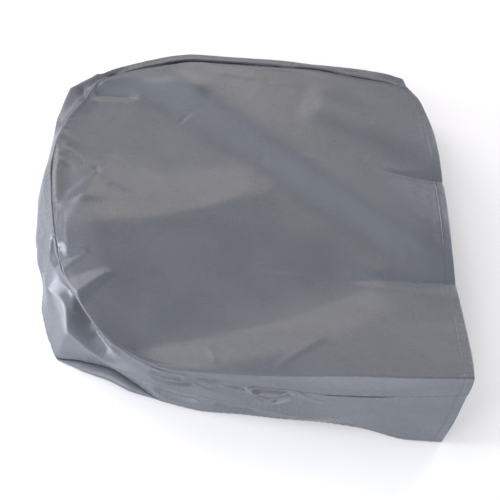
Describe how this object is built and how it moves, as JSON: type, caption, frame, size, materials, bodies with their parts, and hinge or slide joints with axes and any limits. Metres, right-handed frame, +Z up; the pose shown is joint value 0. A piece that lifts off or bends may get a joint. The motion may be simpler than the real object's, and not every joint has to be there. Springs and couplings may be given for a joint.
{
  "type": "fan cover",
  "caption": "Empty soft cloth cover for a fan head: a bag with one round closed end and a hemmed open mouth, lying on its back panel.",
  "frame": {"origin": "middle of the cover's outline on the surface it lies on", "axes": "+X from the closed end to the mouth, +Y across the cover to its far side, +Z up from the surface"},
  "size_m": [0.6332, 0.6707, 0.125],
  "materials": {
    "front_cloth": "satin coated weave",
    "band_cloth": "satin coated weave",
    "back_cloth": "satin coated weave"
  },
  "bodies": {
    "root": {"front_panel": "front_cloth", "side_band": "band_cloth", "back_panel": "back_cloth"}
  },
  "joints": []
}
